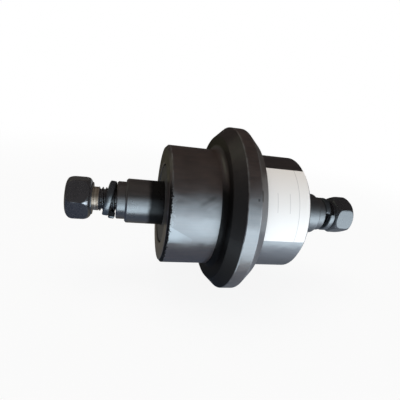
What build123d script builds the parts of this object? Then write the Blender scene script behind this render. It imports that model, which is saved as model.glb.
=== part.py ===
"""Bottom roller for the rubber track of a small excavator.

The spin axis is Y and +Z is up. The origin is on that axis, in the middle of the roller body.
The shaft stands still in the track frame. The flanged body turns on it, on two bushings, behind
two face seals. An M14 bolt with a split spring washer is screwed into each end of the shaft.
"""
import os
from math import cos, radians, sin, tan

from build123d import *

# Roller body
body_length = 80.0
tread_diameter = 70.0
tread_chamfer = 1.4
flange_diameter = 98.6
rim_width = 7.0
flange_wall_height = 8.6
flange_width = 19.0
flange_root_fillet = 3.0
rim_edge_fillet = 0.5

# Shaft
shaft_diameter = 26.0
shaft_length = 132.0
shoulder_chamfer = 1.0
spigot_diameter = 22.0
spigot_length = 5.0
spigot_chamfer = 0.6
thrust_collar_width = 8.0
thrust_collar_step = 2.7
tapped_depth = 28.0
drill_point_angle = 118.0
tapped_countersink = 0.8

# Bushings
bushing_wall = 3.0
bushing_flange_width = 2.0
bushing_flange_height = 3.0
bushing_clearance = 0.05
thrust_clearance = 0.15
oil_groove_count = 3
oil_groove_radius = 1.5
oil_groove_depth = 1.0
oil_groove_land = 3.0

# Face seals
seal_ring_bore = 30.4
seal_ring_length = 5.5
seal_hub_wall = 2.2
seal_flange_height = 2.8
seal_flange_width = 2.0
seal_lapped_band = 2.4
seal_relief = 0.25
seal_film = 0.02
seal_back_gap = 1.6
seal_ramp_angle = 10.0
toric_section = 3.6
toric_clearance = 0.03

# Seal collars
collar_diameter = 46.0
collar_gap = 0.8
collar_recess = 0.5
collar_web_width = 3.2
collar_hub_wall = 1.6
collar_hub_length = 7.5
collar_edge_chamfer = 0.5
labyrinth_gap = 1.2
shaft_ring_section = 1.3
shaft_ring_clearance = 0.02
shaft_groove_width = 2.0

# Bolts and spring washers
thread_diameter = 14.0
thread_clearance = 0.05
bolt_length = 30.0
bolt_tip_chamfer = 1.2
head_across_flats = 22.0
head_height = 14.0
head_face_step = 0.5
head_face_diameter = 18.5
head_round_height = 4.6
washer_bore = 14.7
washer_section = 3.6
washer_cut_angle = 4.0
right_washer_gap = 0.1
left_head_gap = 13.3
right_head_gap = 7.4
left_head_turn = 6.0
right_head_turn = 35.0
left_washer_turn = -45.0
right_washer_turn = 23.0
left_washer_tilt = 4.2
left_washer_gap = -0.35
washer_lean_turn = 110.0

# Label on the tread
label_root_gap = 0.1
label_thickness = 0.15
label_film = 0.02
label_top_angle = 62.7
label_bottom_angle = -8.8

# Radii and places that follow from the sizes above
tread_radius = tread_diameter / 2
flange_radius = flange_diameter / 2
flange_wall_radius = tread_radius + flange_wall_height
shaft_radius = shaft_diameter / 2
spigot_radius = spigot_diameter / 2
shoulder_y = shaft_length / 2 - spigot_length
shaft_end_y = shaft_length / 2
thrust_collar_radius = shaft_radius + thrust_collar_step
bushing_bore_radius = shaft_radius + bushing_clearance
bore_radius = bushing_bore_radius + bushing_wall
bushing_flange_radius = bore_radius + bushing_flange_height
bushing_in_y = thrust_collar_width / 2 + thrust_clearance
collar_radius = collar_diameter / 2
collar_bore_radius = collar_radius + collar_gap
collar_face_y = body_length / 2 - collar_recess
collar_web_y = collar_face_y - collar_web_width
collar_hub_y = collar_face_y - collar_hub_length
collar_hub_radius = shaft_radius + collar_hub_wall
shaft_groove_y = collar_hub_y + shaft_groove_width
shaft_groove_depth = shaft_ring_section + 2 * shaft_ring_clearance
shaft_groove_radius = shaft_radius - shaft_groove_depth
seal_mid_y = collar_web_y - seal_back_gap - seal_ring_length - seal_film / 2
seal_face_y = seal_mid_y - seal_film / 2
seal_back_y = seal_face_y - seal_ring_length
seal_neck_y = seal_face_y - seal_flange_width
seal_floor_y = seal_back_y - seal_back_gap
bushing_neck_y = seal_floor_y - bushing_flange_width
ramp = tan(radians(seal_ramp_angle))
toric_radius = toric_section / 2
toric_y = seal_neck_y - toric_radius - toric_clearance
toric_gap = (toric_radius + toric_clearance) / cos(radians(seal_ramp_angle))
seal_hub_radius = seal_ring_bore / 2 + seal_hub_wall
toric_centre_radius = seal_hub_radius + toric_gap
seat_radius = toric_centre_radius + toric_gap
seat_end_y = seal_mid_y - labyrinth_gap / 2
thread_radius = thread_diameter / 2
tapped_radius = thread_radius + thread_clearance
tapped_end_y = shaft_end_y - tapped_depth
drill_point_length = tapped_radius / tan(radians(drill_point_angle / 2))
head_face_radius = head_face_diameter / 2
head_corner_radius = head_across_flats / 2 / cos(radians(30))
washer_bore_radius = washer_bore / 2
washer_free_height = 2 * washer_section
label_inner_y = flange_width / 2 + flange_root_fillet + label_root_gap
label_outer_y = body_length / 2 - tread_chamfer


def ramp_radius(radius, y):
    """Radius at y of a seal ramp that has the given radius where the toric ring sits."""
    return radius + ramp * (y - toric_y)


def beyond_seal(y):
    """The place that mirrors y across the two lapped seal faces."""
    return 2 * seal_mid_y - y


def corner(section, radius, y):
    """The corner of a section that is nearest to a radius and a place on the axis."""
    return section.vertices().sort_by_distance((radius, y))[0]


with BuildPart() as roller_shell:
    with BuildSketch(Plane.XY) as shell_section:
        with BuildLine():
            Polyline(
                (bore_radius, 0),
                (bore_radius, bushing_neck_y),
                (bushing_flange_radius, bushing_neck_y),
                (bushing_flange_radius, seal_floor_y),
                (ramp_radius(seat_radius, seal_floor_y), seal_floor_y),
                (ramp_radius(seat_radius, seat_end_y), seat_end_y),
                (collar_bore_radius, seat_end_y),
                (collar_bore_radius, body_length / 2),
                (tread_radius, body_length / 2),
                (tread_radius, flange_width / 2),
                (flange_wall_radius, flange_width / 2),
                (flange_radius, rim_width / 2),
                (flange_radius, 0),
                (bore_radius, 0),
            )
        make_face()
        fillet(corner(shell_section, tread_radius, flange_width / 2), flange_root_fillet)
        fillet(corner(shell_section, flange_radius, rim_width / 2), rim_edge_fillet)
        fillet(corner(shell_section, flange_wall_radius, flange_width / 2), rim_edge_fillet)
        chamfer(corner(shell_section, tread_radius, body_length / 2), tread_chamfer)
        chamfer(corner(shell_section, collar_bore_radius, body_length / 2), collar_edge_chamfer)
        mirror(about=Plane.XZ)
    revolve(axis=Axis.Y)

with BuildPart() as shaft:
    with BuildSketch(Plane.XY):
        with BuildLine():
            Polyline(
                (0, 0),
                (thrust_collar_radius, 0),
                (thrust_collar_radius, thrust_collar_width / 2),
                (shaft_radius, thrust_collar_width / 2),
                (shaft_radius, shaft_groove_y - shaft_groove_width / 2),
                (shaft_groove_radius, shaft_groove_y - shaft_groove_width / 2),
                (shaft_groove_radius, shaft_groove_y + shaft_groove_width / 2),
                (shaft_radius, shaft_groove_y + shaft_groove_width / 2),
                (shaft_radius, shoulder_y - shoulder_chamfer),
                (shaft_radius - shoulder_chamfer, shoulder_y),
                (spigot_radius, shoulder_y),
                (spigot_radius, shaft_end_y - spigot_chamfer),
                (spigot_radius - spigot_chamfer, shaft_end_y),
                (tapped_radius + tapped_countersink, shaft_end_y),
                (tapped_radius, shaft_end_y - tapped_countersink),
                (tapped_radius, tapped_end_y),
                (0, tapped_end_y - drill_point_length),
                (0, 0),
            )
        make_face()
        mirror(about=Plane.XZ)
    revolve(axis=Axis.Y)

with BuildPart() as right_bushing:
    with BuildSketch(Plane.XY):
        with BuildLine():
            Polyline(
                (bushing_bore_radius, bushing_in_y),
                (bore_radius, bushing_in_y),
                (bore_radius, bushing_neck_y),
                (bushing_flange_radius, bushing_neck_y),
                (bushing_flange_radius, seal_floor_y),
                (bushing_bore_radius, seal_floor_y),
                close=True,
            )
        make_face()
    revolve(axis=Axis.Y)
    with BuildSketch(Plane(origin=(0, bushing_in_y, 0), x_dir=(1, 0, 0), z_dir=(0, 1, 0))):
        with PolarLocations(bushing_bore_radius + oil_groove_depth - oil_groove_radius, oil_groove_count):
            Circle(oil_groove_radius)
    extrude(amount=seal_floor_y - oil_groove_land - bushing_in_y, mode=Mode.SUBTRACT)

seal_rim_radius = ramp_radius(seal_hub_radius, seal_neck_y) + seal_flange_height

with BuildPart() as right_turning_seal_ring:
    with BuildSketch(Plane.XY):
        with BuildLine():
            Polyline(
                (seal_ring_bore / 2, seal_back_y),
                (ramp_radius(seal_hub_radius, seal_back_y), seal_back_y),
                (ramp_radius(seal_hub_radius, seal_neck_y), seal_neck_y),
                (seal_rim_radius, seal_neck_y),
                (seal_rim_radius, seal_face_y),
                (seal_rim_radius - seal_lapped_band, seal_face_y),
                (seal_rim_radius - seal_lapped_band, seal_face_y - seal_relief),
                (seal_ring_bore / 2, seal_face_y - seal_relief),
                close=True,
            )
        make_face()
    revolve(axis=Axis.Y)

with BuildPart() as right_turning_toric_ring:
    with BuildSketch(Plane.XY):
        with Locations((toric_centre_radius, toric_y)):
            Circle(toric_radius)
    revolve(axis=Axis.Y)

with BuildPart() as right_seal_collar:
    with BuildSketch(Plane.XY):
        with BuildLine():
            Polyline(
                (shaft_radius, collar_hub_y),
                (collar_hub_radius, collar_hub_y),
                (collar_hub_radius, collar_web_y),
                (ramp_radius(seat_radius, seal_floor_y), collar_web_y),
                (ramp_radius(seat_radius, seat_end_y), beyond_seal(seat_end_y)),
                (collar_radius, beyond_seal(seat_end_y)),
                (collar_radius, collar_face_y - collar_edge_chamfer),
                (collar_radius - collar_edge_chamfer, collar_face_y),
                (shaft_radius + collar_edge_chamfer, collar_face_y),
                (shaft_radius, collar_face_y - collar_edge_chamfer),
                close=True,
            )
        make_face()
    revolve(axis=Axis.Y)

with BuildPart() as right_shaft_ring:
    with BuildSketch(Plane.XY):
        with Locations((shaft_radius - shaft_groove_depth / 2, shaft_groove_y)):
            Circle(shaft_ring_section / 2)
    revolve(axis=Axis.Y)

seal_mirror = Plane(origin=(0, seal_mid_y, 0), z_dir=(0, 1, 0))

with BuildPart() as right_fixed_seal_ring:
    mirror(right_turning_seal_ring.part, about=seal_mirror)

with BuildPart() as right_fixed_toric_ring:
    mirror(right_turning_toric_ring.part, about=seal_mirror)


def hexagon_bolt(head_gap, head_turn):
    """A bolt in the shaft's +Y end, with its head head_gap beyond the end of the shaft."""
    seat_y = shaft_end_y + head_gap
    hexagon_y = seat_y + head_face_step
    top_y = seat_y + head_height
    with BuildPart() as bolt:
        with BuildSketch(Plane(origin=(0, hexagon_y, 0), x_dir=(1, 0, 0), z_dir=(0, 1, 0))):
            RegularPolygon(head_across_flats / 2, 6, major_radius=False, rotation=-head_turn)
        extrude(amount=head_height - head_face_step)
        with BuildSketch(Plane.XY):
            with BuildLine():
                inner_corner = (head_corner_radius, hexagon_y + head_round_height)
                outer_corner = (head_corner_radius, top_y - head_round_height)
                TangentArc(inner_corner, (head_face_radius, hexagon_y), tangent=(0, -1))
                TangentArc(outer_corner, (head_face_radius, top_y), tangent=(0, 1))
                Line(inner_corner, outer_corner)
                Polyline(
                    (head_face_radius, hexagon_y), (0, hexagon_y), (0, top_y), (head_face_radius, top_y)
                )
            make_face()
        revolve(axis=Axis.Y, mode=Mode.INTERSECT)
        with BuildSketch(Plane.XY):
            with BuildLine():
                Polyline(
                    (0, seat_y - bolt_length),
                    (thread_radius - bolt_tip_chamfer, seat_y - bolt_length),
                    (thread_radius, seat_y - bolt_length + bolt_tip_chamfer),
                    (thread_radius, seat_y),
                    (head_face_radius, seat_y),
                    (head_face_radius, hexagon_y),
                    (0, hexagon_y),
                    close=True,
                )
            make_face()
        revolve(axis=Axis.Y)
    return bolt


def spring_washer(side, split_turn, tilt, seat_gap):
    """A split ring on the bolt at the shaft's end, side 1 or -1 along Y, that starts at split_turn."""
    lean = radians(tilt)
    lean_turn = radians(washer_lean_turn)
    drop = washer_free_height / 2 * sin(lean)
    lean_way = Vector(cos(lean_turn), 0, sin(lean_turn))
    outward = Vector(0, side * cos(lean), 0) + lean_way * sin(lean)
    middle = Vector(0, side * (shaft_end_y + seat_gap), 0) - lean_way * drop
    start = radians(split_turn)
    seat = Plane(origin=middle, x_dir=Vector(cos(start), 0, sin(start)), z_dir=outward)
    turn_share = 1 - washer_cut_angle / 360
    with BuildPart() as upright_washer:
        with BuildLine() as turn:
            Helix(
                washer_section,
                washer_section * turn_share,
                washer_bore_radius + washer_section / 2,
                center=(0, 0, washer_section / 2),
                lefthand=True,
            )
        with BuildSketch(Plane(origin=turn.line @ 0, x_dir=(1, 0, 0), z_dir=turn.line % 0)):
            Rectangle(washer_section, washer_section)
        sweep(is_frenet=True)
    with BuildPart() as washer:
        add(upright_washer.part.moved(seat.location))
    return washer


right_bolt = hexagon_bolt(right_head_gap, right_head_turn)
right_spring_washer = spring_washer(1, right_washer_turn, 0, right_washer_gap)
left_spring_washer = spring_washer(-1, left_washer_turn, left_washer_tilt, left_washer_gap)

with BuildPart() as left_bolt:
    mirror(hexagon_bolt(left_head_gap, left_head_turn).part, about=Plane.XZ)

label_top = radians(label_top_angle)
label_in_radius = tread_radius + label_film

with BuildPart() as tread_label:
    with BuildSketch(
        Plane(
            origin=(0, 0, 0),
            x_dir=(cos(label_top), 0, sin(label_top)),
            z_dir=(-sin(label_top), 0, cos(label_top)),
        )
    ):
        with Locations((label_in_radius, label_outer_y)):
            Rectangle(label_thickness, label_outer_y - label_inner_y, align=(Align.MIN, Align.MAX))
    revolve(axis=Axis.Y, revolution_arc=label_top_angle - label_bottom_angle)

right_pieces = {
    "bushing": right_bushing,
    "turning_seal_ring": right_turning_seal_ring,
    "turning_toric_ring": right_turning_toric_ring,
    "fixed_seal_ring": right_fixed_seal_ring,
    "fixed_toric_ring": right_fixed_toric_ring,
    "seal_collar": right_seal_collar,
    "shaft_ring": right_shaft_ring,
}
pieces = {
    "roller_shell": roller_shell,
    "shaft": shaft,
    "right_bolt": right_bolt,
    "left_bolt": left_bolt,
    "right_spring_washer": right_spring_washer,
    "left_spring_washer": left_spring_washer,
    "tread_label": tread_label,
}
for name, right_piece in right_pieces.items():
    with BuildPart() as left_piece:
        mirror(right_piece.part, about=Plane.XZ)
    pieces["right_" + name] = right_piece
    pieces["left_" + name] = left_piece

os.makedirs("parts", exist_ok=True)
for name, piece in pieces.items():
    piece.part.label = name
    export_step(piece.part, f"parts/{name}.step")
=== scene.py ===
"""Looks of the bottom roller: paint, bare metal, threads, label, studio light and camera.

Everything is in metres, in the part's own frame. The spin axis is Y, +Z is up, and +X points
towards the camera. An angle round the axis is counted from +X towards +Z, in degrees.
"""

from math import atan2, cos, pi, radians, sin

import bmesh
import bpy
import numpy as np
from mathutils import Matrix, Vector


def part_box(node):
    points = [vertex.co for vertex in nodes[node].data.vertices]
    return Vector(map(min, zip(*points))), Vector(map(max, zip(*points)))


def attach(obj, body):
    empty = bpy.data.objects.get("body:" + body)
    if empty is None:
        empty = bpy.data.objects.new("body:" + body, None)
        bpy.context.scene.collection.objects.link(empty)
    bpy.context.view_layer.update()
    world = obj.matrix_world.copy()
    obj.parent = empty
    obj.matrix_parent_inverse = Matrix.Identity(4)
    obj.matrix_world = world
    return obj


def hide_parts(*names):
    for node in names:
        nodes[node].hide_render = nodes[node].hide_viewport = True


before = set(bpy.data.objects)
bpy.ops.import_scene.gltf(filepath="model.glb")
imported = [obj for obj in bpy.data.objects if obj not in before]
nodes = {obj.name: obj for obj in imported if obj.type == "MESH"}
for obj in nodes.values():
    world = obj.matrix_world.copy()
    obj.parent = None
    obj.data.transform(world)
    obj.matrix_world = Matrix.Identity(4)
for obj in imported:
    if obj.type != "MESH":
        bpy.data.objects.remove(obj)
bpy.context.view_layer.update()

MM = 0.001

# Sizes of the roller body and its shaft
body_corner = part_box("roller_shell")[1]
flange_radius = body_corner.z
body_end = body_corner.y
tread_radius = 35 * MM
tread_chamfer = 1.4 * MM
rim_half_width = 3.5 * MM
shaft_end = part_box("shaft")[1].y
spigot_length = 5 * MM
shoulder_place = shaft_end - spigot_length
shoulder_radius = 12.5 * MM

# Sizes of a bolt, with the thread's flats and flank as shares of its pitch
thread_radius = 7 * MM
thread_pitch = 2 * MM
thread_depth = 0.6134 * thread_pitch
thread_root_flat = 1 / 4
thread_flank = 5 / 16
thread_crest_flat = 1 / 8
tip_chamfer = 1.2 * MM
neck_radius = 6.8 * MM
neck_length = 2.65 * MM
neck_in_thread = 0.8 * MM
neck_point_length = 0.5 * MM
neck_point_radius = 5 * MM
head_across_flats = 22 * MM
head_height = 14 * MM
head_face_step = 0.5 * MM
head_face_radius = 9.25 * MM
head_seat_inner_radius = 0.9 * neck_radius
head_round_height = 4.6 * MM
head_edge_width = 0.45 * MM
left_head_turn = 6
right_head_turn = 35

# Sizes of a spring washer. Its place is the split's turn, the lean, and how far past the shaft's
# end it starts.
washer_section = 3.6 * MM
washer_edge = 0.9 * MM
washer_end_edge = 0.35 * MM
washer_mean_radius = 9.15 * MM
washer_cut_angle = 4
washer_lean_turn = 110
left_washer_place = (-46, 6, -0.6 * MM)
right_washer_place = (23, 0, 0.1 * MM)

# How finely the bolts and washers are divided, and how their edges are treated
thread_steps = 72
head_round_steps = 7
washer_corner_turns = (9, 27, 45, 63, 81)
washer_steps = 96
same_point = 0.001 * MM
shortest_edge = 0.0005 * MM
rounded_above = 25
sharp_above = 35

# Colours of the paints and metals, as a darker and a lighter one where they are mottled
roller_black = (0.037, 0.0215, 0.0155)
roller_edge_grey = (0.12, 0.12, 0.12)
shaft_black = (0.034, 0.025, 0.021)
collar_black = (0.06, 0.055, 0.05)
washer_shade = (0.018, 0.018, 0.02)
edge_grey = (0.1, 0.1, 0.1)
black = (0, 0, 0)
# Painted shade: the matt paint where shade falls, and deeper in the flange's root
matt_painted_shade = (0.011, 0.011, 0.0115)
deep_painted_shade = (0.003, 0.003, 0.003)
# Painted reflection: a lighter patch on the left tread
reflection_shade = (0.15, 0.165, 0.18)
oxide_shades = ((0.022, 0.019, 0.02), (0.038, 0.034, 0.036))
neck_shades = ((0.28, 0.2, 0.14), (0.68, 0.6, 0.49))
# Painted glint on a corner of the left bolt's head
glint_shade = (0.5, 0.54, 0.6)
bronze_shades = ((0.38, 0.24, 0.11), (0.56, 0.38, 0.2))
iron_shades = ((0.25, 0.25, 0.26), (0.42, 0.42, 0.43))
rubber_shades = ((0.012, 0.012, 0.012), (0.028, 0.028, 0.028))
film_shade = (0.775, 0.77, 0.765)
line_shade = (0.2, 0.2, 0.22)

# Gloss and grain of the finishes. A roughness is the lowest one, which the grain adds to. The
# higher a grain's number, the finer it is.
paint_index = 2.1
oxide_index = 1.8
gloss_tint = (0.83, 0.93, 1)
roller_roughness = 0.19
shaft_roughness = 0.16
collar_roughness = 0.41
washer_roughness = 0.14
dull_roughness = 0.5
dull_gloss = 0.06
oxide_roughness = 0.24
bronze_roughness = 0.28
iron_roughness = 0.25
rubber_roughness = 0.6
film_roughness = 0.42
fine_bump = 0.01 * MM
rubber_bump = 0.03 * MM
roller_swell = 0.3
mottle_shares = (0.4, 1.6)
cloud_grain = 110
speckle_grain = 1400
edge_wear_grain = 260
swell_grain = 130
oxide_cloud_grain = 180
oxide_speckle_grain = 1800
metal_grain = 200
rubber_grain = 400
paper_grain = 900
paint_ring_pitch = 0.45 * MM
neck_ring_pitch = 0.7 * MM
metal_ring_pitch = 0.25 * MM
streak_width = 0.8 * MM
streak_length = 12 * MM

# Marks on the roller: painted shade, a painted reflection, a darker wedge, a lighter streak and nicks. A band
# is where it begins, where it ends and how soft its edges are, a fade is where it is 0 and where it is 1, and
# a slant is in degrees a millimetre along the axis.
roller_edge_width = 0.7 * MM
# Painted shade: the paint is made blacker to the right of the flange
right_fade = (9 * MM, 14 * MM)
right_shaft_fade = (41 * MM, 48 * MM)
# Painted shade, matt and darker, on the flange's left side and its root
wall_foot_fade = (tread_radius + 2 * MM, tread_radius + 4 * MM)
flange_left_band = (-25 * MM, -rim_half_width - 0.3 * MM, 0.15 * MM)
flange_height_fade = (13 * MM, 45 * MM)
root_fade = (-12.6 * MM, -12.3 * MM)
root_height_fade = (18 * MM, 27 * MM)
deep_root_fade = (-9.45 * MM, -9.2 * MM)
# Painted shade, dark and matt, on the ragged left chamfer
chamfer_grain = 1000
chamfer_raggedness = 3.5 * MM
chamfer_fade = (body_end - 1.7 * MM, body_end - 1.4 * MM)
chamfer_radius_fade = (33.6 * MM, 33.9 * MM)
chamfer_turn_band = (-150, 36, 6)
rim_fade = (49 * MM, 49.2 * MM)
rim_height_fade = (14 * MM, -4 * MM)
nick_band = (3.4 * MM, 4.7 * MM, 0.3 * MM)
nick_turn_band = (24.5, 31, 0.8)
spot_band = (1.3 * MM, 2.3 * MM, 0.3 * MM)
spot_turn_band = (24.4, 26, 0.4)
nick_radius_fade = (46 * MM, 46.5 * MM)
mark_slant = 0.94
# A darker slanting wedge on the tread, and a lighter slanting streak
dark_wedge_place = -21.9 * MM
dark_wedge_turn_band = (20, 23.5, 1.8)
dark_wedge_band = (-23.5 * MM, -16 * MM, 2 * MM)
light_streak_place = -17 * MM
light_streak_turn_band = (18, 21, 0.9)
light_streak_band = (-20 * MM, -14 * MM, 1.2 * MM)
# Painted reflection on a corner of the left tread, with light dots
reflection_place = -37.7 * MM
reflection_slant = -0.9
reflection_turn = -0.2
reflection_edge_fade = (-0.4, 0.4)
reflection_turn_fade = (-17, -14.5)
reflection_band = (-38.4 * MM, -26 * MM, 0.3 * MM)
reflection_thins = (-35 * MM, -26 * MM)
dot_grain = 1500
dot_fade = (0.53, 0.6)
dot_band = (-38.4 * MM, -36 * MM, 0.5 * MM)
dot_turn_band = (0, 26, 4)

# Marks on the shaft and on the left bolt: painted shade on the shaft by the body, the bare neck, and a
# painted glint
shaft_edge_width = 0.8 * MM
# Painted shade on the shaft next to the body
shaft_shade_grain = 150
shaft_raggedness = 3 * MM
shaft_shade_band = (-46.5 * MM, -30 * MM, 1.5 * MM)
bare_neck_band = (-79.4 * MM, -75.9 * MM, 0.15 * MM)
bare_neck_radius_fade = (7.15 * MM, 7.3 * MM)
# Painted glint on a corner of the left bolt's head
glint_place = -83.6 * MM
glint_length = 2.7 * MM
glint_turn = 5
glint_width = 6
glint_edge_fade = (-0.5, 0.5)
glint_fade = (-81.1 * MM, -80.7 * MM)
glint_radius_fade = (11 * MM, 11.3 * MM)

# Lines on the label
long_line_band = (32.1 * MM, 32.4 * MM, 0.05 * MM)
short_line_bands = ((19 * MM, 19.4 * MM, 0.05 * MM), (26.4 * MM, 26.8 * MM, 0.05 * MM))
short_line_turn_band = (18, 36, 0.3)

# Camera
camera_place = Vector((0.18126, -0.06225, 0.06597))
camera_target = Vector((0, -0.01629, 0.00357))
camera_roll = 8.754
camera_lens = 28.718
sensor_width = 36
nearest_seen = 0.005

# Floor and surround. How white the floor is goes by what sees it: the camera, and gloss.
floor_height = -flange_radius
floor_size = 6
floor_shade = (0.74, 0.79, 0.85)
floor_fade = (0.2, 0.6)
near_floor_white = (0.9, 0.1)
far_floor_white = (1.0, 0.8)
white = (1, 1, 1)
soft_fill = (0.38, 0.36, 0.34)

# Lamps, in watts and colours. A floor panel has its ends along the axis and across it.
floor_panels = [
    ("panel_by_left_bolt", -0.09, -0.045, 0.054, 0.5),
    ("panel_by_left_tread", -0.045, -0.002, 0.06, 0.5),
    ("panel_by_flange", -0.002, 0.03, 0.076, 0.5),
    ("panel_by_label", 0.03, 0.5, 0.06, 0.5),
]
floor_panel_lift = 4 * MM
floor_watts_per_area = 7.2
window_colour = (0.85, 0.935, 1)
window_across = 0.8
window_along = 0.36
window_width = 0.92
low_window_place = 0.08
low_window_height = 0.36
low_window_watts = 1.55
high_window_place = 0.37
high_window_height = 0.22
high_window_watts = 0.43
overhead_place = (-0.1, -0.15, 1)
overhead_size = 0.8
overhead_watts = 5.4
overhead_colour = (1, 0.89, 0.78)
left_glow_place = (-0.4, -0.6, 0.6)
left_glow_size = 0.5
left_glow_watts = 0.15
left_glow_colour = (1, 0.95, 0.65)

# Dark walls, and a cloth on the floor, which only gloss shows
room_reach = 1.2
dark_wall = (0.03, 0.03, 0.032)
low_wall_behind = (0.08, 0.078, 0.07)
low_wall_across_fade = (0.5, -0.1)
low_wall_height_fade = (0.5, 0.1)
cloth_lift = 1 * MM
right_cloth_front = 0.06
right_cloth_back = -0.3
right_cloth_end = 0.6
left_cloth_far_behind = (0.075, 0.07, 0.043)
left_cloth_behind = (0.23, 0.2, 0.155)
left_cloth_under = (0.11, 0.14, 0.195)
left_cloth_in_front = (0.02, 0.02, 0.024)
left_cloth_by_head = (0.065, 0.092, 0.15)
right_cloth_behind = (0.25, 0.275, 0.32)
right_cloth_in_front = (0.85, 0.9, 1.02)
right_cloth_by_flange = (0.29, 0.31, 0.36)
left_cloth_behind_fade = (-0.25, -0.09)
left_cloth_under_fade = (-0.04, 0.02)
left_cloth_front_fade = (0.04, 0.055)
by_head_along_fade = (-0.065, -0.08)
by_head_across_fade = (-0.08, -0.02)
right_cloth_front_fade = (0.01, 0.06)
right_cloth_flange_fade = (0, 0.05)
cloth_seam_fade = (-0.003, 0.003)


class Term:
    """A socket in a node tree, so that sums on it can be written as Python."""

    def __init__(self, tree, socket):
        self.tree = tree
        self.socket = socket

    def reckon(self, operation, *terms):
        return self.tree.node("ShaderNodeMath", {"operation": operation}, dict(enumerate(terms)))

    def __add__(self, other):
        return self.reckon("ADD", self, other)

    def __radd__(self, other):
        return self.reckon("ADD", other, self)

    def __sub__(self, other):
        return self.reckon("SUBTRACT", self, other)

    def __rsub__(self, other):
        return self.reckon("SUBTRACT", other, self)

    def __mul__(self, other):
        return self.reckon("MULTIPLY", self, other)

    def __rmul__(self, other):
        return self.reckon("MULTIPLY", other, self)

    def __truediv__(self, other):
        return self.reckon("DIVIDE", self, other)

    def __rtruediv__(self, other):
        return self.reckon("DIVIDE", other, self)

    def __pow__(self, other):
        return self.reckon("POWER", self, other)

    def __rpow__(self, other):
        return self.reckon("POWER", other, self)

    def __abs__(self):
        return self.reckon("ABSOLUTE", self)


class Tree:
    """A node tree that is being filled."""

    def __init__(self, node_tree):
        self.node_tree = node_tree
        node_tree.nodes.clear()

    def node(self, kind, settings=None, inputs=None, output=0):
        """Adds a node, with its settings first and then its inputs, and gives one of its outputs."""
        made = self.node_tree.nodes.new(kind)
        for name, value in (settings or {}).items():
            setattr(made, name, value)
        for name, value in (inputs or {}).items():
            if isinstance(value, Term):
                self.node_tree.links.new(value.socket, made.inputs[name])
            else:
                made.inputs[name].default_value = value
        if not made.outputs:
            return None
        return Term(self, made.outputs[output])

    def object_place(self):
        return self.node("ShaderNodeTexCoord", output="Object")

    def split(self, place):
        """A place's parts along X, Y and Z."""
        parts = self.node("ShaderNodeSeparateXYZ", {}, {0: place}).socket.node.outputs
        return [Term(self, part) for part in parts]

    def smooth(self, value, low, high):
        """Rises smoothly from 0 at low to 1 at high."""
        return self.node(
            "ShaderNodeMapRange",
            {"interpolation_type": "SMOOTHSTEP"},
            {"Value": value, "From Min": low, "From Max": high},
        )

    def band(self, value, low, high, soft):
        """1 between low and high, with soft edges."""
        return self.smooth(value, low - soft, low + soft) * (1 - self.smooth(value, high - soft, high + soft))

    def mix(self, factor, first, second):
        """A colour between first and second, each one a colour or a link."""
        first, second = (shade if isinstance(shade, Term) else rgb(shade) for shade in (first, second))
        return self.node(
            "ShaderNodeMix",
            {"data_type": "RGBA"},
            {0: factor, 6: first, 7: second},
            output=2,
        )

    def grain(self, place, scale, detail=3, roughness=0.55):
        """Cloudy noise from 0 to 1."""
        return self.node(
            "ShaderNodeTexNoise",
            {"noise_dimensions": "3D"},
            {"Vector": place, "Scale": scale, "Detail": detail, "Roughness": roughness},
        )


class Finish(Tree):
    """A material of the roller, with the places on it that its nodes need."""

    def __init__(self, name):
        self.material = bpy.data.materials.new(name)
        self.material.use_nodes = True
        super().__init__(self.material.node_tree)
        self.place = self.object_place()
        self.across, self.along, self.up = self.split(self.place)
        self.radius = (self.across * self.across + self.up * self.up) ** 0.5
        self.turn = self.up.reckon("ARCTAN2", self.up, self.across) * (180 / pi)

    def rings(self, pitch):
        """Fine turning marks that run round the axis, from 0 to 1."""
        return self.node(
            "ShaderNodeTexNoise",
            {"noise_dimensions": "1D"},
            {"W": (self.along + self.radius) / pitch, "Scale": 1.0, "Detail": 2},
        )

    def streaks(self, width, length):
        """Faint streaks along the axis, from 0 to 1."""
        place = {0: self.across / width, 1: self.along / length, 2: self.up / width}
        return self.grain(self.node("ShaderNodeCombineXYZ", {}, place), 1, detail=2)

    def past_slant(self, place, slant):
        """The turn, counted from a slanting line that starts at a place along the axis."""
        return self.turn - (self.along - place) / MM * slant

    def shaded_right(self, shade):
        """The same colour, a little blacker to the right of the flange: painted shade, where less light
        falls.
        """
        return self.mix(self.smooth(self.along, *right_fade) * 0.4, shade, black)

    def bump(self, height, distance):
        return self.node("ShaderNodeBump", {}, {"Height": height, "Distance": distance})

    def surface(self, inputs, other_inputs=None, share=None):
        """Ends the material in one shader, or in a share of another."""
        shader = self.node("ShaderNodeBsdfPrincipled", {}, inputs)
        if other_inputs:
            other = self.node("ShaderNodeBsdfPrincipled", {}, other_inputs)
            shader = self.node("ShaderNodeMixShader", {}, {0: share, 1: shader, 2: other})
        self.node("ShaderNodeOutputMaterial", {}, {"Surface": shader})
        return self.material


def rgb(shade):
    """A colour as a socket takes it, with its alpha."""
    return (*shade, 1)


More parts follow.
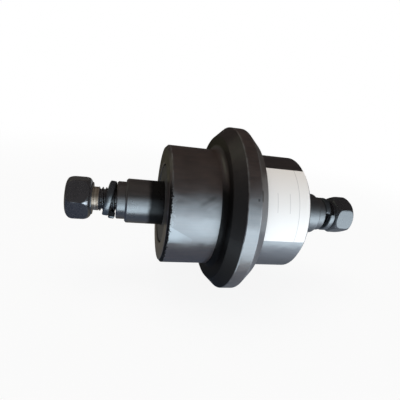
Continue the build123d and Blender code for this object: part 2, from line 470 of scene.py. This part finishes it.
def paint(name, colour, edge_colour, roughness, edges=(), gloss=0.5, swell=0, shaded=None, lightened=None):
    """Black paint on turned steel, a little thinner on the edges, which are (place, radius, width).

    The shade mask says where painted shade makes the paint matt and darker, and the lightening mask where a
    painted reflection makes it lighter, from 0 to 1.
    """
    finish = Finish(name)
    cloud = finish.grain(finish.place, cloud_grain)
    speckle = finish.grain(finish.place, speckle_grain, detail=2)
    rings = finish.rings(paint_ring_pitch)
    wear = 0
    for place, radius, width in edges:
        near = (abs(finish.along) - place) ** 2 + (finish.radius - radius) ** 2
        wear = wear + (1 - finish.smooth(near ** 0.5, 0, width))
    worn = wear * finish.smooth(finish.grain(finish.place, edge_wear_grain), 0.35, 0.6) * 0.7
    streaks = finish.streaks(streak_width, streak_length)
    mottle = cloud * 0.5 + finish.smooth(streaks, 0.3, 0.7) * 0.5
    darker, lighter = ([share * part for part in colour] for share in mottle_shares)
    shade = finish.shaded_right(finish.mix(mottle, darker, lighter))
    shade = finish.mix(worn, shade, edge_colour)
    # Painted reflection: a lighter colour mixed in where the lightening mask says
    if lightened:
        shade = finish.mix(lightened(finish), shade, reflection_shade)
    height = speckle * 0.01 + rings * 0.01 + finish.grain(finish.place, swell_grain, detail=1) * swell
    rough_right = finish.smooth(finish.along, *right_shaft_fade) * 0.12
    shiny = {
        "Base Color": shade,
        "Roughness": roughness + cloud * 0.2 + rings * 0.04 + streaks * 0.05 + rough_right,
        "Specular IOR Level": gloss,
        "IOR": paint_index,
        "Specular Tint": rgb(gloss_tint),
        "Normal": finish.bump(height, MM),
    }
    if not shaded:
        return finish.surface(shiny)
    # Painted shade: matt, darker paint, darkest in the flange's root
    in_shaded_root = 1 - finish.smooth(finish.along, *deep_root_fade)
    matt = {
        "Base Color": finish.mix(in_shaded_root, matt_painted_shade, deep_painted_shade),
        "Roughness": dull_roughness,
        "Specular IOR Level": dull_gloss,
    }
    return finish.surface(shiny, matt, shaded(finish))


def shade_and_nicks_on_roller(finish):
    """Painted shade on the flange's left side, its root and the ragged left chamfer, a darker wedge on the
    tread, nicks on the rim, and a rim duller towards the bottom.
    """
    # Painted shade: the flange's left side and root are matt and darker, less so high up
    flange_side = finish.smooth(finish.radius, *wall_foot_fade)
    low = 1 - finish.smooth(finish.up, *root_height_fade)
    low_root = finish.smooth(finish.along, *root_fade) * low
    flange_side = flange_side + low_root * (1 - flange_side)
    flange_side = flange_side * finish.band(finish.along, *flange_left_band)
    flange_side = flange_side * (1 - finish.smooth(finish.up, *flange_height_fade) * 0.5)
    # Painted shade: a dark, matt band on the ragged left chamfer, below its top
    ragged = (finish.grain(finish.place, chamfer_grain, detail=1) - 0.5) * chamfer_raggedness
    on_chamfer = finish.smooth(finish.along * -1 + ragged, *chamfer_fade)
    on_chamfer = on_chamfer * finish.smooth(finish.radius, *chamfer_radius_fade)
    on_chamfer = on_chamfer * finish.band(finish.turn, *chamfer_turn_band)
    dark_wedge = finish.band(finish.past_slant(dark_wedge_place, mark_slant), *dark_wedge_turn_band)
    dark_wedge = dark_wedge * finish.band(finish.along, *dark_wedge_band)
    nick = finish.band(finish.along, *nick_band) * finish.band(finish.turn, *nick_turn_band)
    spot = finish.band(finish.along, *spot_band) * finish.band(finish.turn, *spot_turn_band)
    nicks = (nick + spot) * finish.smooth(finish.radius, *nick_radius_fade)
    on_rim = finish.smooth(finish.radius, *rim_fade) * finish.smooth(finish.up, *rim_height_fade)
    return flange_side * 0.97 + on_chamfer * 0.95 + dark_wedge * 0.35 + nicks * 0.6 + on_rim * 0.13


def reflection_and_streak_on_roller(finish):
    """A painted reflection on a corner of the left tread, with a straight slanting edge and light dots, and a
    lighter slanting streak.
    """
    past_edge = reflection_turn - finish.past_slant(reflection_place, reflection_slant)
    corner = finish.smooth(past_edge, *reflection_edge_fade) * finish.smooth(finish.turn, *reflection_turn_fade)
    corner = corner * finish.band(finish.along, *reflection_band)
    corner = corner * (1 - finish.smooth(finish.along, *reflection_thins) * 0.7)
    dots = finish.smooth(finish.grain(finish.place, dot_grain, detail=1), *dot_fade)
    dots = dots * finish.band(finish.along, *dot_band) * finish.band(finish.turn, *dot_turn_band)
    light_streak = finish.band(finish.past_slant(light_streak_place, mark_slant), *light_streak_turn_band)
    light_streak = light_streak * finish.band(finish.along, *light_streak_band)
    return corner + dots * 0.7 + light_streak * 0.25


def roller_paint():
    edges = [
        (rim_half_width, flange_radius, roller_edge_width),
        (body_end - tread_chamfer, tread_radius, roller_edge_width),
    ]
    return paint(
        "roller_paint",
        roller_black,
        roller_edge_grey,
        roller_roughness,
        edges,
        gloss=1.0,
        swell=roller_swell,
        shaded=shade_and_nicks_on_roller,
        lightened=reflection_and_streak_on_roller,
    )


def shade_on_shaft(finish):
    """Painted shade: a matt, darker band of the shaft next to the body, on the left, where the body keeps the
    light off.
    """
    ragged = finish.grain(finish.place, shaft_shade_grain) * shaft_raggedness
    return finish.band(finish.along + ragged, *shaft_shade_band) * 0.9


def shaft_paint():
    edges = [(shoulder_place, shoulder_radius, shaft_edge_width)]
    return paint(
        "shaft_paint",
        shaft_black,
        edge_grey,
        shaft_roughness,
        edges,
        gloss=1.0,
        shaded=shade_on_shaft,
    )


def collar_paint():
    return paint("collar_paint", collar_black, edge_grey, collar_roughness)


def washer_black():
    return paint("washer_black", washer_shade, edge_grey, washer_roughness, gloss=1.0)


def bolt_black():
    """Black oxide, with a band of bare metal under the left bolt's head, a painted glint on one corner of
    that head, and painted shade that makes the right bolt blacker.
    """
    finish = Finish("bolt_black")
    cloud = finish.grain(finish.place, oxide_cloud_grain)
    speckle = finish.grain(finish.place, oxide_speckle_grain, detail=2)
    bare = finish.band(finish.along, *bare_neck_band)
    bare = bare * (1 - finish.smooth(finish.radius, *bare_neck_radius_fade))
    stripes = finish.smooth(finish.rings(neck_ring_pitch), 0.35, 0.65)
    # Painted glint: a bright triangle on one corner of the left bolt's head
    reach = (finish.along - glint_place) / glint_length * glint_width
    corner = finish.smooth(reach - abs(finish.turn - glint_turn), *glint_edge_fade)
    corner = corner * (1 - finish.smooth(finish.along, *glint_fade))
    corner = corner * finish.smooth(finish.radius, *glint_radius_fade)
    shade = finish.shaded_right(finish.mix(cloud, *oxide_shades))
    shade = finish.mix(corner, shade, glint_shade)
    return finish.surface(
        {
            "Base Color": finish.mix(bare, shade, finish.mix(stripes, *neck_shades)),
            "Metallic": bare * 0.85,
            "Roughness": oxide_roughness + cloud * 0.07 + bare * 0.05,
            "Specular IOR Level": 1.0,
            "IOR": oxide_index,
            "Specular Tint": rgb(gloss_tint),
            "Normal": finish.bump(speckle, fine_bump),
        }
    )


def bare_metal(name, shades, roughness):
    """Turned bare metal of the bushings and the seal rings."""
    finish = Finish(name)
    cloud = finish.grain(finish.place, metal_grain)
    rings = finish.rings(metal_ring_pitch)
    return finish.surface(
        {
            "Base Color": finish.mix(cloud, *shades),
            "Metallic": 1.0,
            "Roughness": roughness + cloud * 0.1,
            "Normal": finish.bump(rings, fine_bump),
        }
    )


def seal_rubber():
    finish = Finish("seal_rubber")
    cloud = finish.grain(finish.place, rubber_grain)
    return finish.surface(
        {
            "Base Color": finish.mix(cloud, *rubber_shades),
            "Roughness": rubber_roughness + cloud * 0.15,
            "Normal": finish.bump(cloud, rubber_bump),
        }
    )


def label_film():
    """White film with a long ruled line and two short ones."""
    finish = Finish("label_film")
    paper = finish.grain(finish.place, paper_grain, detail=2)
    first, second = (finish.band(finish.along, *line) for line in short_line_bands)
    short_lines = (first + second) * finish.band(finish.turn, *short_line_turn_band)
    ink = finish.band(finish.along, *long_line_band) * 0.5 + short_lines * 0.3
    return finish.surface(
        {
            "Base Color": finish.mix(ink, film_shade, line_shade),
            "Roughness": film_roughness + paper * 0.1,
            "Normal": finish.bump(paper, fine_bump),
        }
    )


class Surface:
    """Points and faces of one mesh, added ring by ring."""

    def __init__(self):
        self.points = []
        self.faces = []

    def grid(self, rows, shift=0):
        """Joins rows of points round the axis. The last column meets the first, shift rows on."""
        start = sum(len(block) for block in self.points)
        rows = np.asarray(rows)
        count, steps = rows.shape[:2]
        self.points.append(rows.reshape(-1, 3))
        for row in range(count - 1):
            for step in range(steps):
                turned = step + 1
                near, far = row, row + 1
                if turned == steps:
                    turned = 0
                    near, far = row + shift, row + 1 + shift
                if far >= count:
                    continue
                self.faces.append(
                    [
                        start + row * steps + step,
                        start + near * steps + turned,
                        start + far * steps + turned,
                        start + (row + 1) * steps + step,
                    ]
                )

    def make(self, name, material):
        mesh = bpy.data.meshes.new(name)
        mesh.from_pydata(np.concatenate(self.points).tolist(), [], self.faces)
        mesh.materials.append(material)
        made = bpy.data.objects.new(name, mesh)
        bpy.context.scene.collection.objects.link(made)
        return made


def round_axis(angle, radius, along):
    """Points at the angles, radii and places along the axis."""
    angle, radius, along = np.broadcast_arrays(angle, radius, along)
    return np.stack([radius * np.cos(angle), along, radius * np.sin(angle)], axis=-1)


def head_rows(angle, seat, side, head_turn):
    """The rings of a hexagon head that is rounded towards both of its faces."""
    corner_radius = head_across_flats / 2 / cos(radians(30))
    inset = corner_radius - head_face_radius
    round_radius = (inset ** 2 + head_round_height ** 2) / (2 * inset)
    round_centre = corner_radius - round_radius
    off_flat = (np.degrees(angle) - head_turn) % 60 - 30
    hexagon = head_across_flats / 2 / np.cos(np.radians(off_flat))
    first = np.arccos(np.minimum((hexagon - round_centre) / round_radius, 1))
    last = atan2(head_round_height, head_face_radius - round_centre)
    bends = [first + (last - first) * step / head_round_steps for step in range(head_round_steps + 1)]
    rounding = [
        (round_centre + round_radius * np.cos(bend), head_round_height - round_radius * np.sin(bend))
        for bend in bends
    ]
    inner = [(radius, head_face_step + drop) for radius, drop in reversed(rounding)]
    outer = [(radius, head_height - drop) for radius, drop in rounding]
    start = [(head_seat_inner_radius, 0), (head_face_radius, 0)]
    profile = start + inner + outer + [(0, head_height)]
    return [round_axis(angle, radius, seat + side * out) for radius, out in profile]


def thread_rows(start, end):
    """Rows that follow a right-hand thread between two places on the axis, and its rows a turn."""
    crest = thread_radius
    root = thread_radius - thread_depth
    crest_start = thread_root_flat + thread_flank
    crest_end = crest_start + thread_crest_flat
    profile = [(0, root), (thread_root_flat, root), (crest_start, crest), (crest_end, crest)]
    angle = np.arange(thread_steps) * 2 * pi / thread_steps
    turns = int((end - start) / thread_pitch) + 2
    rows = []
    for turn in range(turns):
        for share, radius in profile:
            along = start + thread_pitch * (turn + share - angle / (2 * pi))
            along = np.clip(along, start, end)
            rows.append((angle, np.full(thread_steps, radius), along))
    return rows, len(profile)


def bolt(side, head_turn, material):
    """A bolt on one end of the shaft, side 1 or -1 along Y, with its thread and hexagon head."""
    word = "right" if side > 0 else "left"
    low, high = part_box(f"{word}_bolt")
    tip, top = (low.y, high.y) if side > 0 else (high.y, low.y)
    seat = top - side * head_height
    neck_end = seat - side * neck_length
    angle = radians(head_turn) + np.arange(2 * thread_steps) * pi / thread_steps
    surface = Surface()
    surface.grid(head_rows(angle, seat, side, head_turn))
    neck = [
        (neck_radius, seat),
        (neck_radius, neck_end - side * neck_in_thread),
        (neck_point_radius, neck_end - side * (neck_in_thread + neck_point_length)),
    ]
    surface.grid([round_axis(angle, radius, along) for radius, along in neck])
    rows, shift = thread_rows(min(tip, neck_end), max(tip, neck_end))
    wrapped = []
    for row_angle, radius, along in rows:
        limit = thread_radius - tip_chamfer + abs(along - tip)
        wrapped.append(round_axis(row_angle, np.minimum(radius, limit), along))
    surface.grid(wrapped, shift=shift)
    cap = [(thread_radius - tip_chamfer, tip), (0, tip)]
    surface.grid([round_axis(angle, radius, along) for radius, along in cap])
    made = surface.make(f"{word}_threaded_bolt", material)
    tidy_mesh(made, lambda place: side * (place.y - seat) > head_face_step / 2)
    edge = made.modifiers.new("edges", "BEVEL")
    edge.width = head_edge_width
    edge.segments = 3
    edge.limit_method = "WEIGHT"
    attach(made, f"{word}_bolt_body")
    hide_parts(f"{word}_bolt")


def washer_outline():
    """The rounded square section of the washer's bar, as places (away from the axis, along it)."""
    flat = washer_section / 2 - washer_edge
    bends = [radians(turn) for turn in washer_corner_turns]
    quarter = [(flat + washer_edge * cos(bend), flat + washer_edge * sin(bend)) for bend in bends]
    outline = []
    for quarter_turn in range(4):
        outline += quarter
        quarter = [(-along, away) for away, along in quarter]
    return outline


def spring_washer(side, split_turn, tilt, gap, material):
    """A split spring washer: a rounded square bar that makes one left-hand turn from its split."""
    word = "right" if side > 0 else "left"
    lean, lean_turn = radians(tilt), radians(washer_lean_turn)
    lean_way = Vector((cos(lean_turn), 0, sin(lean_turn)))
    outward = Vector((0, side * cos(lean), 0)) + lean_way * sin(lean)
    middle = Vector((0, side * (shaft_end + gap), 0)) - lean_way * washer_section * sin(lean)
    start = radians(split_turn)
    first = Vector((cos(start), 0, sin(start)))
    first = (first - outward * first.dot(outward)).normalized()
    second = outward.cross(first)
    half = washer_section / 2
    outline = washer_outline()
    whole = 2 * pi * (1 - washer_cut_angle / 360)
    near_end = washer_end_edge / washer_mean_radius
    between = [whole * step / washer_steps for step in range(1, washer_steps)]
    surface = Surface()
    rows = []
    for angle in [0, near_end, *between, whole - near_end, whole]:
        shrink = 1 - washer_end_edge / half if angle in (0, whole) else 1
        ray = first * cos(angle) - second * sin(angle)
        place = middle + outward * (half + washer_section * angle / (2 * pi)) + ray * washer_mean_radius
        rows.append([place + (ray * away + outward * along) * shrink for away, along in outline])
    surface.grid(rows)
    corners = len(outline)
    last = (len(rows) - 1) * corners
    surface.faces += [list(range(corners)), list(range(last, last + corners))]
    made = surface.make(f"{word}_split_washer", material)
    tidy_mesh(made, lambda place: False)
    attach(made, f"{word}_washer_body")
    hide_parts(f"{word}_spring_washer")


def tidy_mesh(made, rounded):
    """Merges points that fall together, turns the faces outwards and picks the edges to round."""
    work = bmesh.new()
    work.from_mesh(made.data)
    bmesh.ops.remove_doubles(work, verts=work.verts, dist=same_point)
    bmesh.ops.dissolve_degenerate(work, edges=work.edges, dist=shortest_edge)
    bmesh.ops.recalc_face_normals(work, faces=work.faces)
    weight = work.edges.layers.float.new("bevel_weight_edge")
    for edge in work.edges:
        sharp = edge.is_convex and edge.calc_face_angle(0) > radians(rounded_above)
        if sharp and all(rounded(end.co) for end in edge.verts):
            edge[weight] = 1
    work.to_mesh(made.data)
    work.free()
    made.data.shade_smooth()
    made.data.set_sharp_from_angle(angle=radians(sharp_above))


def dress(material, *names):
    """Gives a finish to parts of the roller."""
    for name in names:
        piece = nodes[name]
        piece.data.materials.clear()
        piece.data.materials.append(material)


def both(name):
    return f"left_{name}", f"right_{name}"


def soft_box(name, place, target, width, height, watts, colour):
    """A rectangular lamp that points at the target and that the camera doesn't see."""
    lamp = bpy.data.lights.new(name, "AREA")
    lamp.shape = "RECTANGLE"
    lamp.size = width
    lamp.size_y = height
    lamp.energy = watts
    lamp.color = colour
    made = bpy.data.objects.new(name, lamp)
    bpy.context.scene.collection.objects.link(made)
    made.location = place
    made.rotation_euler = (Vector(target) - Vector(place)).to_track_quat("-Z", "Y").to_euler()
    made.visible_camera = False
    return made


def ray_share(tree, camera_share, gloss_share):
    """How much of the white background a ray sees, by what kind of ray it is."""
    kinds = tree.node("ShaderNodeLightPath").socket.node.outputs
    seen, glossy, clear = (
        Term(tree, kinds[f"Is {kind} Ray"]) for kind in ("Camera", "Glossy", "Transmission")
    )
    return seen * camera_share + (glossy + clear) * gloss_share


def pale_floor():
    """A floor right under the flange that is white to the camera and keeps a faint shadow."""
    bpy.ops.mesh.primitive_plane_add(size=floor_size, location=(0, 0, floor_height))
    floor = bpy.context.object
    floor.name = "floor"
    pale = bpy.data.materials.new("pale_floor")
    pale.use_nodes = True
    tree = Tree(pale.node_tree)
    length = {"operation": "LENGTH"}
    away = tree.node("ShaderNodeVectorMath", length, {0: tree.object_place()}, output="Value")
    near_white = ray_share(tree, *near_floor_white)
    far_white = ray_share(tree, *far_floor_white)
    white_share = near_white + (far_white - near_white) * tree.smooth(away, *floor_fade)
    lit = tree.node("ShaderNodeBsdfDiffuse", {}, {"Color": rgb(floor_shade)})
    glow = tree.node("ShaderNodeEmission", {}, {"Color": rgb(white), "Strength": 1.0})
    surface = tree.node("ShaderNodeMixShader", {}, {0: white_share, 1: lit, 2: glow})
    tree.node("ShaderNodeOutputMaterial", {}, {"Surface": surface})
    floor.data.materials.append(pale)


def surround():
    """White to the camera and in the gloss, and a soft grey fill for the rest."""
    world = bpy.data.worlds.new("surround")
    bpy.context.scene.world = world
    world.use_nodes = True
    tree = Tree(world.node_tree)
    shade = tree.mix(ray_share(tree, 1, 1), soft_fill, white)
    background = tree.node("ShaderNodeBackground", {}, {"Color": shade, "Strength": 1.0})
    tree.node("ShaderNodeOutputWorld", {}, {"Surface": background})


def gloss_card(name, points, faces, pick_shade):
    """A card that only the gloss of the roller shows, so that its paint stays dark there."""
    mesh = bpy.data.meshes.new(name)
    mesh.from_pydata(points, [], faces)
    card = bpy.data.objects.new(name, mesh)
    bpy.context.scene.collection.objects.link(card)
    cloth = bpy.data.materials.new(name)
    cloth.use_nodes = True
    tree = Tree(cloth.node_tree)
    glow = tree.node("ShaderNodeEmission", {}, {"Color": pick_shade(tree), "Strength": 1.0})
    tree.node("ShaderNodeOutputMaterial", {}, {"Surface": glow})
    mesh.materials.append(cloth)
    for kind in ("camera", "diffuse", "transmission", "shadow"):
        setattr(card, f"visible_{kind}", False)


def wall_shade(tree):
    """Nearly black, and a little lighter low down, behind the roller and beside it."""
    across, _, up = tree.split(tree.object_place())
    lighter = tree.smooth(across, *low_wall_across_fade) * tree.smooth(up, *low_wall_height_fade)
    return tree.mix(lighter, dark_wall, low_wall_behind)


def cloth_shade(tree):
    """A dark cloth on the left, and on the right a pale blue one that is greyer by the flange."""
    across, along, _ = tree.split(tree.object_place())
    left = tree.mix(tree.smooth(across, *left_cloth_behind_fade), left_cloth_far_behind, left_cloth_behind)
    left = tree.mix(tree.smooth(across, *left_cloth_under_fade), left, left_cloth_under)
    left = tree.mix(tree.smooth(across, *left_cloth_front_fade), left, left_cloth_in_front)
    by_head = tree.smooth(along, *by_head_along_fade) * tree.smooth(across, *by_head_across_fade)
    left = tree.mix(by_head, left, left_cloth_by_head)
    right = tree.mix(tree.smooth(across, *right_cloth_front_fade), right_cloth_behind, right_cloth_in_front)
    right = tree.mix(tree.smooth(along, *right_cloth_flange_fade), right_cloth_by_flange, right)
    return tree.mix(tree.smooth(along, *cloth_seam_fade), left, right)


def dark_room():
    """Dark walls and a ceiling, and a cloth on the floor that is narrower on the right."""
    low = [(x * room_reach, y * room_reach) for x, y in ((-1, -1), (1, -1), (1, 1), (-1, 1))]
    points = [(x, y, z) for z in (floor_height, room_reach) for x, y in low]
    walls = [(side, (side + 1) % 4, (side + 1) % 4 + 4, side + 4) for side in range(4)]
    gloss_card("dark_walls", points, walls + [(4, 5, 6, 7)], wall_shade)
    cloth = [
        (-room_reach, -room_reach),
        (room_reach, -room_reach),
        (room_reach, 0),
        (right_cloth_front, 0),
        (right_cloth_front, right_cloth_end),
        (right_cloth_back, right_cloth_end),
        (right_cloth_back, 0),
        (-room_reach, 0),
    ]
    points = [(x, y, floor_height + cloth_lift) for x, y in cloth]
    gloss_card("floor_cloth", points, [tuple(range(len(points)))], cloth_shade)


def lamps():
    """A soft lamp overhead, a faint one at the left, and a window's light, partly by way of the floor."""
    for name, left, right, near, far in floor_panels:
        across, along = (near + far) / 2, (left + right) / 2
        place = (across, along, floor_height + floor_panel_lift)
        width, length = far - near, right - left
        watts = floor_watts_per_area * width * length
        soft_box(name, place, (across, along, 1), width, length, watts, window_colour)
    windows = [
        ("low_window", low_window_place, low_window_height, low_window_watts),
        ("high_window", high_window_place, high_window_height, high_window_watts),
    ]
    for name, up, height, watts in windows:
        place, target = (window_across, window_along, up), (0, window_along, up)
        soft_box(name, place, target, window_width, height, watts, window_colour)
    middle = (0, 0, 0)
    size = overhead_size
    overhead = soft_box("overhead", overhead_place, middle, size, size, overhead_watts, overhead_colour)
    overhead.visible_glossy = False
    size = left_glow_size
    soft_box("left_glow", left_glow_place, middle, size, size, left_glow_watts, left_glow_colour)


def camera():
    """The photograph's camera, turned a little about its own line of sight."""
    lens = bpy.data.cameras.new("camera")
    lens.lens = camera_lens
    lens.sensor_width = sensor_width
    lens.clip_start = nearest_seen
    made = bpy.data.objects.new("camera", lens)
    bpy.context.scene.collection.objects.link(made)
    made.location = camera_place
    look = (camera_target - camera_place).to_track_quat("-Z", "Y").to_matrix()
    made.rotation_euler = (look @ Matrix.Rotation(radians(camera_roll), 3, "Z")).to_euler()
    bpy.context.scene.camera = made


camera()
pale_floor()
surround()
dark_room()
lamps()

dress(roller_paint(), "roller_shell")
dress(shaft_paint(), "shaft")
dress(collar_paint(), *both("seal_collar"))
dress(bare_metal("bushing_bronze", bronze_shades, bronze_roughness), *both("bushing"))
dress(
    bare_metal("seal_iron", iron_shades, iron_roughness),
    *both("turning_seal_ring"),
    *both("fixed_seal_ring"),
)
dress(seal_rubber(), *both("turning_toric_ring"), *both("fixed_toric_ring"), *both("shaft_ring"))
dress(label_film(), "tread_label")

oxide = bolt_black()
bolt(-1, left_head_turn, oxide)
bolt(1, right_head_turn, oxide)

washer_paint = washer_black()
spring_washer(-1, *left_washer_place, washer_paint)
spring_washer(1, *right_washer_place, washer_paint)

bpy.context.scene.view_settings.view_transform = "Standard"
